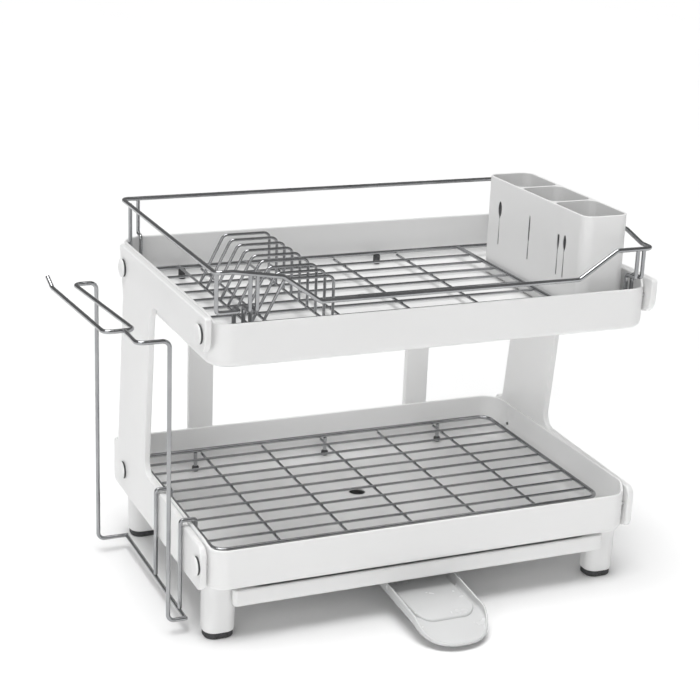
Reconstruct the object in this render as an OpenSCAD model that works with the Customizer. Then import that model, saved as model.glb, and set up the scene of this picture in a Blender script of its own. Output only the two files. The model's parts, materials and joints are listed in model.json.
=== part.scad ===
// Two-tier dish drying rack. Two plastic trays hang between C-shaped side frames. Each tray holds
// a lift-out wire rack. A drip tray slides under the lower tray and drains through a swivel spout.
// A utensil holder stands in the upper tray, and a wire board holder hooks on the left side.
// Millimetres. +X is right, +Y is back and +Z is up.

/* [Trays] */
// Length of both trays, left to right
tray_l = 480; // [460:5:500]
// Depth of both trays, front to back
tray_d = 312; // [306:1:320]
// Height of a tray's rim above its underside
tray_h = 51; // [48:1:54]
// Thickness of the tray walls and floors
tray_wall = 3; // [2:0.5:3]
// How much lower the trays' rims are at the front
front_drop = 7.5; // [0:0.5:8]
// Radius of the trays' corners, seen from above
tray_corner_r = 24; // [16:1:26]
// Height of the lower tray's underside above the table
lower_z = 59; // [57:1:65]
// Height of the upper tray's underside above the table
upper_z = 290; // [280:2:300]

/* [Frame] */
// Thickness of a side frame
side_t = 7; // [6:0.5:10]
// Width of each upright behind the trays
upright_w = 29; // [24:1:36]
// Distance of the left upright from the middle
upright_left = 144; // [110:2:150]
// Distance of the right upright from the middle
upright_right = 130; // [110:2:150]
// Width of a foot
foot_w = 33; // [28:1:36]
// Depth of a foot
foot_d = 29; // [26:1:34]
// Height of the rubber pad under a foot
pad_h = 7; // [5:0.5:9]

/* [Drip tray and spout] */
// Height of the drip tray's front
drip_h = 18; // [16:0.5:18]
// How far the spout reaches in front of the trays
spout_reach = 87; // [75:1:110]
// Width of the spout
spout_w = 80; // [70:2:90]

/* [Wire racks] */
// Diameter of the rails and frame wires
rail_wire = 4.6; // [4:0.2:5]
// Diameter of the thin wires
thin_wire = 3; // [2.4:0.2:3.2]
// Height of the upper rack's rail above the upper tray's rim
rail_rise = 42; // [38:1:50]
// Depth of the dip in the front rail
rail_dip = 35; // [24:1:36]
// Number of plate dividers
divider_count = 9; // [5:1:9]
// Distance from one plate divider to the next
divider_pitch = 22; // [18:1:24]

/* [Utensil holder] */
// Width of the utensil holder
holder_w = 54; // [48:1:55]
// Length of the utensil holder, front to back
holder_d = 214; // [190:2:220]
// Height of the utensil holder
holder_h = 112; // [90:2:130]

/* [Board holder] */
// Distance from the inner wires to the front outer wire
board_gap_front = 18; // [16:1:24]
// Distance from the inner wires to the rear outer wire
board_gap_back = 32; // [28:1:34]
// Height of the board holder's top above the table
board_top = 309; // [280:1:320]
// How far the towel rail's front end stands out from the inner wires
towel_out = 70; // [60:1:80]

/* [Hidden] */
// Curves are fine enough to look round, and the wires use fewer facets.
$fn = 48;
WIRE_FN = 20;
ARC_STEP = 15;

// How much larger the ball at a slanting bend is than the crossing of the two wires
BALL = 1.04;

// Heights of the trays' rims and floors
upper_rim = upper_z + tray_h;
lower_rim = lower_z + tray_h;
upper_floor = upper_z + tray_wall;
lower_floor = lower_z + tray_wall;

// Where the trays end, and where the side frames' outer faces are
end_x = tray_l / 2;
side_x = end_x + side_t;

// Clearances: between bodies, and in the spout's bearing
gap = 0.4;
bearing_gap = 0.05;

// Colours
WHITE = [0.93, 0.93, 0.92];
CHROME = [0.42, 0.43, 0.45];
DARK = [0.2, 0.2, 0.21];
CLEAR = [0.88, 0.9, 0.9];

// Side frame: the leg leans forward, and both arms run the depth of the trays.
leg_front_low = tray_d - 116;
leg_front_high = tray_d - 136;
leg_back_low = tray_d - 16;
leg_back_high = tray_d - 38;
side_outline = [
    [6, lower_z, 10], [tray_d, lower_z, 10], [tray_d, lower_rim + 1, 7],
    [leg_back_low, lower_rim + 1, 7], [leg_back_high, upper_z - 4, 14],
    [tray_d - 25, upper_rim, 4], [1, upper_rim, 3],
    [1, upper_z + 14, 16], [leg_front_high, upper_z + 14, 22],
    [leg_front_low, lower_rim + 1, 16], [6, lower_rim - 4, 10]
];

// Screws through the side frames and the uprights
screw_r = 2;
screw_head_r = 4;
screw_head_h = 3;
cap_r = 10;
cap_h = 2.5;
cap_seat_h = 2;
// Each screw's Y and Z, and the X of its inner end. The front ones pass the trays' round corners.
side_screws = [
    [15, upper_z + 32, end_x - 8], [tray_d - 42, upper_z + 28, end_x - tray_wall],
    [15, lower_z + 26, end_x - 8], [tray_d - 40, lower_z + 26, end_x - tray_wall]
];
upright_t = 8;
upright_screws = [upper_z + 24, lower_z + 24];

// Drain holes in the tray floors
drain_r = 9;
drain_y = tray_d * 0.6;

// Drip tray, its flanges and the rails that carry them
foot_inset = 3;
rail_x = end_x - foot_inset - foot_w - gap;
rail_t = 3;
drip_top = lower_z - 3;
drip_z = drip_top - drip_h;
drip_wall = 2.5;
drip_y = 4;
drip_nose = 9;
drip_back = tray_d - 14;
flange_w = 7;
flange_t = 2;
pan_x = rail_x - rail_t - gap - flange_w;
nose_x = end_x - 28;
drip_travel = 250;

// Spout: its neck is part of the drip tray, and its ring turns on the neck.
neck_y = 46;
neck_r = 10;
neck_bore_r = 7;
neck_h = 8;
neck_lip_r = 11.6;
neck_lip_h = 1.2;
ring_h = 4;
ring_r = 16;
spout_wall = 2.2;
spout_back = neck_y + 26;
spout_top = drip_z - gap;

// Upper rack: its rail stands over the tray's rim, and its frame stands inside the tray.
rail_r = rail_wire / 2;
thin_r = thin_wire / 2;
post_r = rail_r - 0.2;
post_bend_r = 3.4;
rail_inset = 3;
rail_x_out = end_x - rail_inset;
rail_front = rail_inset;
rail_back = tray_d - rail_inset;
rail_z = upper_rim + rail_rise;
rail_end_drop = 8;
dip_z = rail_z - rail_dip;
bend_r = 7;
grid_z = upper_z + 16;
grid_x = end_x - 10;
grid_front = 20;
grid_back = tray_d - 14;
grid_pitch = 30;
holder_bay_x = grid_x - holder_w - 2 * rail_r - 4.5;
step_z = upper_rim + rail_r + gap + 0.3;

// Plate dividers
divider_left = -178;
divider_right = -100;
divider_top = 53;
divider_first = 46;

// Lower rack
low_grid_z = lower_z + 28;
low_grid_x = end_x - 18;
low_grid_front = 36;
low_grid_back = tray_d - 14;
low_grid_pitch = 25;
low_bend_r = 14;

// Utensil holder
holder_x = grid_x - rail_r - 3.5 - holder_w / 2;
holder_y = 28 + holder_d / 2;
holder_wall = 2.5;
holder_r = 12;
holder_z = upper_floor + gap;
holder_top = holder_z + holder_h;
holder_bays = 3;
holder_pitch = (holder_d - holder_wall) / holder_bays;

// Board holder
board_r = 2.2;
board_in = side_x + board_r + 0.6;
board_front_x = board_in + board_gap_front;
board_back_x = board_in + board_gap_back;
board_low = 15;
board_front = 42;
board_back = tray_d - 60;
hook_x = end_x - tray_wall - board_r - 0.8;
hook_z = lower_rim + 1 + board_r + 0.6;
hook_drop = 14;
hook_ys = [board_front + 18, board_front + 100];
towel_x = board_in + towel_out;
towel_front = board_front + 42;
towel_flare = 14;
board_bend_r = 7;
hook_bend_r = 3;

// Whole object: the origin is the middle of its outer box, on the table.
box_left = -(towel_x + towel_flare + board_r);
box_right = side_x;
box_front = -spout_reach;
box_back = tray_d + upright_t + 2.4;

// ---------- Helpers ----------

function unit(v) = v / norm(v);
function mid(a, b) = (a + b) / 2;

// Points of one rounded corner at p, between the points before and after it
function corner(before, p, after, r) =
    let (u = unit(before - p), w = unit(after - p),
         half = acos(max(-1, min(1, u * w))) / 2,
         centre = p + unit(u + w) * r / sin(half),
         start = p + u * r / tan(half) - centre,
         sweep = 180 - 2 * half,
         turn = (u.x * w.y - u.y * w.x) > 0 ? -1 : 1,
         steps = max(1, round(sweep / ARC_STEP)))
    [for (i = [0:steps])
        let (a = turn * sweep * i / steps)
        centre + [start.x * cos(a) - start.y * sin(a), start.x * sin(a) + start.y * cos(a)]];

// Outline through [x, y, radius] points, with every corner rounded by its radius
function rounded(pts) =
    let (n = len(pts))
    [for (i = [0:n - 1])
        let (a = pts[(i + n - 1) % n], p = pts[i], b = pts[(i + 1) % n])
        each corner([a.x, a.y], [p.x, p.y], [b.x, b.y], p.z)];

function box_outline(x0, y0, x1, y1, r) =
    rounded([[x0, y0, r], [x1, y0, r], [x1, y1, r], [x0, y1, r]]);

// Moves the model so that its outer box is centred on the origin.
module place() {
    translate([-mid(box_left, box_right), -mid(box_front, box_back), 0]) children();
}

module orient(from, to) {
    d = to - from;
    translate(from) rotate([0, acos(d.z / norm(d)), atan2(d.y, d.x)]) children();
}

module rod(from, to, r) {
    orient(from, to) cylinder(h = norm(to - from), r = r, $fn = WIRE_FN);
}

function is_square(before, p, after) = abs(unit(before - p) * unit(after - p)) < 0.001;

// Bend at p, between the points before and after it: a quarter torus where the wire turns
// square, and otherwise a ball that holds the crossing of the two wires
module bend(before, p, after, r, turn_r) {
    if (is_square(before, p, after)) {
        x = unit(p - after);
        y = unit(p - before);
        z = cross(x, y);
        centre = p - (x + y) * turn_r;
        multmatrix([[x.x, y.x, z.x, centre.x], [x.y, y.y, z.y, centre.y],
                    [x.z, y.z, z.z, centre.z], [0, 0, 0, 1]])
            rotate_extrude(angle = 90) translate([turn_r, 0]) circle(r, $fn = WIRE_FN);
    } else {
        half = acos(unit(before - p) * unit(after - p)) / 2;
        translate(p) sphere(r * BALL / sin(half), $fn = WIRE_FN);
    }
}

// How far a bend at p shortens the straight wires on each side of it
function setback(before, p, after, turn_r) = is_square(before, p, after) ? turn_r : 0;

// Wire bent through the points of a path, open or closed into a loop
module wire(path, r, turn_r, closed = false) {
    n = len(path);
    for (i = [0:closed ? n - 1 : n - 2]) {
        a = path[i];
        b = path[(i + 1) % n];
        cut_a = closed || i > 0 ? setback(path[(i + n - 1) % n], a, b, turn_r) : 0;
        cut_b = closed || i < n - 2 ? setback(a, b, path[(i + 2) % n], turn_r) : 0;
        rod(a + unit(b - a) * cut_a, b - unit(b - a) * cut_b, r);
    }
    for (i = [closed ? 0 : 1:closed ? n - 1 : n - 2])
        bend(path[(i + n - 1) % n], path[i], path[(i + 1) % n], r, turn_r);
}

// Places children on the outside of a side frame or tray end, with +Z pointing outwards
module at_end(side, x, y, z) {
    translate([side * x, y, z]) rotate([0, side * 90, 0]) children();
}

// Places children at every screw of one side frame
module at_side_screws(side, x) {
    for (s = side_screws) at_end(side, x, s.x, s.y) children();
}

// Places children at every screw of the uprights, with +Z pointing to the back
module at_upright_screws(y) {
    for (x = [-upright_left, upright_right], z = upright_screws)
        translate([x, y, z]) rotate([-90, 0, 0]) children();
}

// ---------- Frame ----------

module side_frame(side) {
    place() color(WHITE) difference() {
        translate([side > 0 ? end_x : -side_x, 0, 0]) rotate([90, 0, 90])
            linear_extrude(side_t) polygon(rounded(side_outline));
        at_side_screws(side, end_x - 1) cylinder(h = side_t + 2, r = screw_r);
        at_side_screws(side, side_x - screw_head_h) cylinder(h = screw_head_h + 1, r = screw_head_r);
    }
}

module side_frame_left() { side_frame(-1); }

module side_frame_right() { side_frame(1); }

// Open tray with a lower rim in front, screw holes in its walls and a drain hole in its floor
module tray(z) {
    top = z + tray_h;
    place() color(WHITE) difference() {
        translate([0, 0, z]) linear_extrude(tray_h)
            polygon(box_outline(-end_x, 0, end_x, tray_d, tray_corner_r));
        translate([0, 0, z + tray_wall]) linear_extrude(tray_h)
            polygon(box_outline(tray_wall - end_x, tray_wall, end_x - tray_wall,
                                tray_d - tray_wall, tray_corner_r - tray_wall));
        translate([-end_x - 1, 0, 0]) rotate([90, 0, 90]) linear_extrude(tray_l + 2) polygon([
            [-1, top - front_drop], [8, top - front_drop], [tray_corner_r, top + 1], [-1, top + 1]
        ]);
        translate([0, drain_y, z - 1]) cylinder(h = tray_wall + 2, r = drain_r);
        for (side = [-1, 1]) at_side_screws(side, end_x - 9) cylinder(h = 10, r = screw_r);
        at_upright_screws(tray_d - tray_wall - 1) cylinder(h = tray_wall + 2, r = screw_r);
    }
}

module upper_tray() { tray(upper_z); }

module lower_tray() { tray(lower_z); }

// Flat post behind both trays, with rounded ends
module rear_upright(x) {
    place() color(WHITE) difference() {
        translate([x, tray_d + upright_t, 0]) rotate([90, 0, 0])
            linear_extrude(upright_t)
            polygon(box_outline(-upright_w / 2, lower_z + 4, upright_w / 2, upper_rim - 6, 6));
        at_upright_screws(tray_d - 1) cylinder(h = upright_t + 2, r = screw_r);
    }
}

module rear_upright_left() { rear_upright(-upright_left); }

module rear_upright_right() { rear_upright(upright_right); }

module upright_screws() {
    shank = upright_t + tray_wall;
    place() color(CHROME) at_upright_screws(tray_d - tray_wall) {
        cylinder(h = shank, r = screw_r);
        translate([0, 0, shank]) cylinder(h = box_back - tray_d - upright_t, r = screw_head_r);
    }
}

module side_screws(side) {
    place() color(CHROME) for (s = side_screws) at_end(side, s[2], s.x, s.y) {
        shank = side_x - screw_head_h - s[2];
        cylinder(h = shank, r = screw_r);
        translate([0, 0, shank]) cylinder(h = screw_head_h, r = screw_head_r);
    }
}

module side_screws_left() { side_screws(-1); }

module side_screws_right() { side_screws(1); }

// Rubber washers on the left side frame, which the screw caps are pressed on to
module cap_seats_left() {
    place() color(DARK) at_side_screws(-1, side_x) cylinder(h = cap_seat_h, r = cap_r - 0.5);
}

module screw_caps_left() {
    place() color(WHITE) at_side_screws(-1, side_x + cap_seat_h) cylinder(h = cap_h, r = cap_r);
}

// ---------- Feet ----------

foot_x = end_x - foot_inset - foot_w / 2;
foot_front = 14 + foot_d / 2;
foot_back = tray_d - 12 - foot_d / 2;

module foot_slab(x, y, z, h, inset) {
    place() translate([x, y, z]) linear_extrude(h)
        polygon(box_outline(inset - foot_w / 2, inset - foot_d / 2,
                            foot_w / 2 - inset, foot_d / 2 - inset, 12 - inset));
}

module foot(x, y) { color(WHITE) foot_slab(x, y, pad_h, lower_z - pad_h, 0); }

module foot_pad(x, y) { color(DARK) foot_slab(x, y, 0, pad_h, 1.5); }

module foot_front_left() { foot(-foot_x, foot_front); }

module foot_front_right() { foot(foot_x, foot_front); }

module foot_rear_left() { foot(-foot_x, foot_back); }

module foot_rear_right() { foot(foot_x, foot_back); }

module foot_pad_front_left() { foot_pad(-foot_x, foot_front); }

module foot_pad_front_right() { foot_pad(foot_x, foot_front); }

module foot_pad_rear_left() { foot_pad(-foot_x, foot_back); }

module foot_pad_rear_right() { foot_pad(foot_x, foot_back); }

// ---------- Drip tray ----------

flange_z = drip_top - flange_t;
lip_z = flange_z - gap - rail_t;

// C-shaped rail under the lower tray. The drip tray's flange slides in it.
module drip_rail(side) {
    depth = drip_back - 16;
    slot_x = pan_x + flange_w + gap;
    place() color(WHITE) mirror([side > 0 ? 0 : 1, 0, 0]) translate([0, depth + 16, 0])
        rotate([90, 0, 0]) linear_extrude(depth) polygon([
            [pan_x + 3, lip_z], [rail_x, lip_z], [rail_x, lower_z], [pan_x + 3, lower_z],
            [pan_x + 3, drip_top + gap], [slot_x, drip_top + gap],
            [slot_x, flange_z - gap], [pan_x + 3, flange_z - gap]
        ]);
}

module drip_rail_left() { drip_rail(-1); }

module drip_rail_right() { drip_rail(1); }

// Shallow pan with a wide nose in front, side flanges, and an outlet neck for the spout
module drip_tray() {
    place() color(WHITE) difference() {
        union() {
            translate([0, 0, drip_z]) linear_extrude(drip_h) polygon(rounded([
                [-nose_x, drip_y, 8], [nose_x, drip_y, 8],
                [nose_x, drip_y + drip_nose, 0.5], [pan_x, drip_y + drip_nose, 0.5],
                [pan_x, drip_back, 10], [-pan_x, drip_back, 10],
                [-pan_x, drip_y + drip_nose, 0.5], [-nose_x, drip_y + drip_nose, 0.5]
            ]));
            for (side = [-1, 1])
                translate([side > 0 ? pan_x - 1 : -pan_x - flange_w, 20, flange_z])
                    cube([flange_w + 1, drip_back - 34, flange_t]);
            translate([0, neck_y, drip_z - neck_h]) cylinder(h = neck_h + 1, r = neck_r);
            translate([0, neck_y, drip_z - neck_h]) cylinder(h = neck_lip_h, r = neck_lip_r);
        }
        translate([0, 0, drip_z + drip_wall]) linear_extrude(drip_h)
            polygon(box_outline(drip_wall - pan_x, drip_y + drip_wall + 1,
                                pan_x - drip_wall, drip_back - drip_wall, 7));
        translate([0, neck_y, drip_z - neck_h - 1])
            cylinder(h = neck_h + drip_wall + 2, r = neck_bore_r);
    }
}

// ---------- Spout ----------

spout_tip_z = 5;
spout_floor_z = drip_z - neck_h - 7;
spout_bend_y = -spout_reach * 0.5;

// Plan of the spout, with a round tip, drawn in by inset
module spout_plan(inset) {
    half = spout_w / 2 - inset;
    polygon(rounded([
        [-half, inset - spout_reach, half * 0.93], [half, inset - spout_reach, half * 0.93],
        [half, spout_back - inset, 20 - inset], [-half, spout_back - inset, 20 - inset]
    ]));
}

// Side view of the spout between two heights above its sloping floor
module spout_side(low, high) {
    translate([-spout_w, 0, 0]) rotate([90, 0, 90]) linear_extrude(2 * spout_w) polygon([
        [spout_back, spout_floor_z + low], [spout_bend_y, spout_floor_z - 4 + low],
        [-spout_reach - 1, spout_tip_z + low], [-spout_reach - 1, spout_tip_z + low + 3],
        [spout_bend_y, spout_floor_z - 4 + high], [spout_back, spout_floor_z + high]
    ]);
}

// Scoop with a low rim, a raised middle, a lip that drops to the front, and a ring that turns on
// the neck
module drain_spout() {
    rim_h = spout_top - spout_floor_z - 1;
    place() color(CLEAR) difference() {
        union() {
            intersection() {
                linear_extrude(drip_z) spout_plan(0);
                spout_side(0, spout_wall);
            }
            intersection() {
                linear_extrude(drip_z) difference() {
                    spout_plan(0);
                    spout_plan(spout_wall);
                }
                spout_side(0, rim_h);
            }
            intersection() {
                linear_extrude(drip_z) polygon(box_outline(-33, -52, 33, neck_y + 20, 18));
                spout_side(1, spout_wall + 2);
            }
            translate([-spout_w / 2 + 1, neck_y - ring_r, spout_top - ring_h])
                cube([spout_w - 2, 2 * ring_r, ring_h - 1]);
            translate([0, neck_y, spout_top - ring_h]) cylinder(h = ring_h, r = ring_r);
        }
        translate([0, neck_y, spout_top - ring_h - 1])
            cylinder(h = ring_h + 2, r = neck_r + bearing_gap);
    }
}

// ---------- Upper rack ----------

// Top rail: a loop above the tray's rim. Its front dips between its raised ends, and its right
// end is a little lower than the rest.
module upper_rail() {
    end_z = rail_z - rail_end_drop;
    place() color(CHROME) wire([
        [-rail_x_out, rail_front, rail_z], [-rail_x_out + 16, rail_front, rail_z],
        [-rail_x_out + 67, rail_front, end_z], [-rail_x_out + 106, rail_front, dip_z],
        [rail_x_out - 84, rail_front, dip_z], [rail_x_out - 42, rail_front, end_z],
        [rail_x_out, rail_front, end_z], [rail_x_out, rail_front + 20, end_z],
        [rail_x_out, rail_front + 50, rail_z], [rail_x_out, rail_back, rail_z],
        [-rail_x_out, rail_back, rail_z]
    ], rail_r, bend_r, true);
}

// Post from the rail down to the rim, in over the rim, and down to the rack's frame
module rail_post(x, y, top, in_y) {
    wire([
        [x, y, top], [x, y, step_z], [x, in_y, step_z], [x, in_y, grid_z + rail_r]
    ], post_r, post_bend_r);
}

// Posts: one at the front left corner, a pair at each end of the front, two at the back, and a
// straight one near the back of each side
module upper_rail_posts() {
    corner_x = rail_x_out - 2;
    corner_y = rail_front + 2;
    corner_in = rail_x_out - 25;
    place() color(CHROME) {
        wire([
            [-corner_x, corner_y, rail_z], [-corner_x, corner_y, step_z],
            [-corner_in, corner_y, step_z], [-corner_in, grid_front, step_z],
            [-corner_in, grid_front, grid_z + rail_r]
        ], post_r, post_bend_r);
        for (inset = [34.5, 41.5])
            rail_post(inset - rail_x_out, rail_front, rail_z - rail_end_drop * 0.43, grid_front);
        for (inset = [10, 17])
            rail_post(rail_x_out - inset, rail_front, rail_z - rail_end_drop, grid_front);
        for (side = [-1, 1]) {
            rail_post(side * (rail_x_out - 17.5), rail_back, rail_z, grid_back);
            side_post = side * (grid_x + rail_r + post_r);
            rod([side_post, grid_back - 10, grid_z - post_r],
                [side_post, grid_back - 10, rail_z], post_r);
        }
    }
}

// Frame wire round the rack's floor
module upper_rack_frame() {
    place() color(CHROME) {
        wire([
            [-grid_x, grid_front, grid_z], [grid_x, grid_front, grid_z],
            [grid_x, grid_back, grid_z], [-grid_x, grid_back, grid_z]
        ], rail_r, bend_r, true);
    }
}

grid_under = grid_z - rail_r - thin_r;
carrier_z = grid_under + 4 * thin_r;
grid_rows = floor((grid_back - grid_front) / grid_pitch) - 1;
grid_first = mid(grid_front, grid_back) - grid_pitch * (grid_rows - 1) / 2;

// Floor wires, left to right, on top of the stringers
module upper_rack_wires() {
    z = grid_under + 2 * thin_r;
    place() color(CHROME) for (i = [0:grid_rows - 1]) {
        y = grid_first + i * grid_pitch;
        rod([-grid_x + rail_r, y, z], [holder_bay_x - rail_r, y, z], thin_r);
    }
}

// Wires from front to back: four under the floor wires, two on top of them for the plate
// dividers, and one beside the holder's bay
module upper_rack_stringers() {
    spacing = (holder_bay_x + grid_x) / 5;
    place() color(CHROME) {
        for (i = [1:4])
            rod([i * spacing - grid_x, grid_front + 1, grid_under],
                [i * spacing - grid_x, grid_back - 1, grid_under], thin_r);
        for (x = [divider_left, divider_right])
            rod([x, grid_front + rail_r, carrier_z], [x, grid_back - rail_r, carrier_z], thin_r);
        rod([holder_bay_x, grid_front + rail_r, grid_z], [holder_bay_x, grid_back - rail_r, grid_z],
            rail_r);
    }
}

// Bent wires that stand plates on edge
module plate_dividers() {
    top = grid_z + divider_top;
    place() color(CHROME) for (i = [0:divider_count - 1]) {
        y = divider_first + i * divider_pitch;
        wire([
            [divider_left, y, carrier_z], [divider_left + 26, y, top],
            [divider_right, y, top], [divider_right, y, carrier_z]
        ], thin_r, 6);
    }
}

// Rubber sleeves that stand the rack's frame on the tray floor
module upper_rack_feet() {
    place() color(DARK) for (x = [-tray_l * 0.36, tray_l * 0.13], y = [grid_front, grid_back])
        translate([x, y, upper_floor + gap])
            cylinder(h = grid_z - rail_r - upper_floor - gap, r = 4);
}

// ---------- Lower rack ----------

module lower_rack_frame() {
    place() color(CHROME) wire([
        [-low_grid_x, low_grid_front, low_grid_z], [low_grid_x, low_grid_front, low_grid_z],
        [low_grid_x, low_grid_back, low_grid_z], [-low_grid_x, low_grid_back, low_grid_z]
    ], rail_r, low_bend_r, true);
}

low_under = low_grid_z - rail_r - thin_r;
low_rows = floor((low_grid_back - low_grid_front) / low_grid_pitch) - 1;
low_pitch = (low_grid_back - low_grid_front) / (low_rows + 1);

module lower_rack_wires() {
    z = low_under + 2 * thin_r;
    place() color(CHROME) for (i = [1:low_rows]) {
        y = low_grid_front + i * low_pitch;
        rod([-low_grid_x + rail_r, y, z], [low_grid_x - rail_r, y, z], thin_r);
    }
}

module lower_rack_stringers() {
    spacing = low_grid_x / 3;
    place() color(CHROME) for (i = [-2:2])
        rod([i * spacing, low_grid_front + 1, low_under],
            [i * spacing, low_grid_back - 1, low_under], thin_r);
}

low_leg_xs = [-0.67 * low_grid_x - 6, 6, 0.67 * low_grid_x + 6];
low_tip_h = 6;

// Short legs under the frame's front and back wires
module lower_rack_legs() {
    place() color(CHROME) for (x = low_leg_xs, y = [low_grid_front, low_grid_back])
        rod([x, y, lower_floor + low_tip_h], [x, y, low_grid_z - rail_r], post_r);
}

// Rubber tips on the legs
module lower_rack_feet() {
    place() color(DARK) for (x = low_leg_xs, y = [low_grid_front, low_grid_back])
        translate([x, y, lower_floor + gap]) cylinder(h = low_tip_h - gap, r = 4);
}

// ---------- Utensil holder ----------

slot_z = holder_z + 38;

// Round-ended slot through the left wall, in the outline of a spoon: a bowl and a handle
module utensil_cut(y, bowl_r, handle_w, h) {
    translate([holder_x - holder_w / 2 - 1, y, 0]) rotate([90, 0, 90])
        linear_extrude(holder_wall + 2) {
            translate([0, slot_z + h - bowl_r]) circle(bowl_r);
            translate([-handle_w / 2, slot_z]) square([handle_w, h - bowl_r]);
        }
}

module utensil_holder() {
    x0 = holder_x - holder_w / 2;
    y0 = holder_y - holder_d / 2;
    place() color(WHITE) difference() {
        translate([0, 0, holder_z]) linear_extrude(holder_h)
            polygon(box_outline(x0, y0, x0 + holder_w, y0 + holder_d, holder_r));
        for (i = [0:holder_bays - 1]) {
            bay = y0 + holder_wall + i * holder_pitch;
            translate([0, 0, holder_z + holder_wall]) linear_extrude(holder_h)
                polygon(box_outline(x0 + holder_wall, bay, x0 + holder_w - holder_wall,
                                    bay + holder_pitch - holder_wall, holder_r - holder_wall));
            for (j = [-1:1])
                translate([holder_x, bay + (holder_pitch - holder_wall) / 2 + j * 16, holder_z - 1])
                    cylinder(h = holder_wall + 2, r = 3);
        }
        utensil_cut(y0 + 38, 3.2, 2.4, 46);
        utensil_cut(y0 + 51, 2.6, 2.6, 44);
        utensil_cut(y0 + 113, 1.8, 3.2, 50);
        utensil_cut(y0 + 180, 4.2, 2.4, 50);
    }
}

// ---------- Board holder ----------

// Front wire: up from the base, out at the top, and back to the towel rail
module board_holder_front() {
    link_x = towel_x - 20;
    place() color(CHROME) wire([
        [-board_in + board_r, board_front, board_low], [-board_front_x, board_front, board_low],
        [-board_front_x, board_front, board_top], [-link_x, board_front, board_top],
        [-link_x, towel_front - board_r, board_top]
    ], board_r, board_bend_r);
}

// Rear wire: up from the base, out at the top, and forward as a towel rail that flares to the
// back, with a turned-up end
module board_holder_rear() {
    flare_in = board_back_x + 24;
    place() color(CHROME) wire([
        [-board_in + board_r, board_back, board_low], [-board_back_x, board_back, board_low],
        [-board_back_x, board_back, board_top], [-flare_in, board_back, board_top],
        [-towel_x + 30, towel_front, board_top], [-towel_x, towel_front, board_top],
        [-towel_x - towel_flare + 2, board_back - 14, board_top + 2],
        [-towel_x - towel_flare, board_back, board_top + 11]
    ], board_r, board_bend_r);
}

// Inner wires with hooks over the lower tray's rim
module board_holder_hooks() {
    place() color(CHROME) for (y = hook_ys) wire([
        [-board_in, y, board_low + board_r], [-board_in, y, hook_z], [-hook_x, y, hook_z],
        [-hook_x, y, hook_z - hook_drop]
    ], board_r, hook_bend_r);
}

// Straight wire that joins the front, rear and inner wires
module board_holder_base() {
    place() color(CHROME) rod([-board_in, board_front + board_r, board_low],
                              [-board_in, board_back - board_r, board_low], board_r);
}

// Rubber tips on the hooks' ends
module board_holder_tips() {
    place() color(DARK) for (y = hook_ys)
        translate([-hook_x, y, hook_z - hook_drop - 3]) cylinder(h = 3, r = board_r);
}

side_frame_left();
side_frame_right();
upper_tray();
lower_tray();
rear_upright_left();
rear_upright_right();
upright_screws();
side_screws_left();
side_screws_right();
cap_seats_left();
screw_caps_left();
foot_front_left();
foot_front_right();
foot_rear_left();
foot_rear_right();
foot_pad_front_left();
foot_pad_front_right();
foot_pad_rear_left();
foot_pad_rear_right();
drip_rail_left();
drip_rail_right();
drip_tray();
drain_spout();
upper_rail();
upper_rail_posts();
upper_rack_frame();
upper_rack_wires();
upper_rack_stringers();
plate_dividers();
upper_rack_feet();
lower_rack_frame();
lower_rack_wires();
lower_rack_stringers();
lower_rack_legs();
lower_rack_feet();
utensil_holder();
board_holder_front();
board_holder_rear();
board_holder_hooks();
board_holder_base();
board_holder_tips();
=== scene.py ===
"""Looks of the two-tier dish drying rack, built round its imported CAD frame.

Shapes are worked out in millimetres in the rack's own frame: x from the middle of the trays,
y back from the trays' front, z up from the table. to_row() turns them into metres in the row frame.
"""

import json
import math

import bmesh
import bpy
from mathutils import Matrix, Vector


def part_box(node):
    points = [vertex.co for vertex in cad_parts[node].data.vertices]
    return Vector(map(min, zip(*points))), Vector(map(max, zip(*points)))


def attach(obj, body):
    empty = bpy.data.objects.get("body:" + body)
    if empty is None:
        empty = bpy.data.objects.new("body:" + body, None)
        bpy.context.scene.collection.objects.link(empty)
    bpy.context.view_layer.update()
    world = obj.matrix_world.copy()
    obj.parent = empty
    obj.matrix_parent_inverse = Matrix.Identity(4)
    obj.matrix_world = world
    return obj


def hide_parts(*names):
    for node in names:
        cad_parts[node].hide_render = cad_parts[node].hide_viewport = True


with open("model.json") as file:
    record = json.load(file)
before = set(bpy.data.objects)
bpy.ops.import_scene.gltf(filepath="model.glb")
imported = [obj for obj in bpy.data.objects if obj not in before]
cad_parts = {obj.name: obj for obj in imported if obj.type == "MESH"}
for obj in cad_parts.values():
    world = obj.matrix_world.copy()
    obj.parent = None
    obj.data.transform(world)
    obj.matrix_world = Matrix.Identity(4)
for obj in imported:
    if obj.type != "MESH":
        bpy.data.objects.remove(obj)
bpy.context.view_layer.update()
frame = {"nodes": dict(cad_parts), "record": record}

MM = 0.001
RECORD = frame["record"]
BODY_OF = {n: b for b, nodes in RECORD["behaviour"]["bodies"].items() for n in nodes}
SLOT_OF = {part["node"]: part["material_slot"] for part in RECORD["subparts"]}

tray_low, tray_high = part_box("lower_tray")
ORIGIN = Vector(((tray_low.x + tray_high.x) / 2, tray_low.y, 0))

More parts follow.
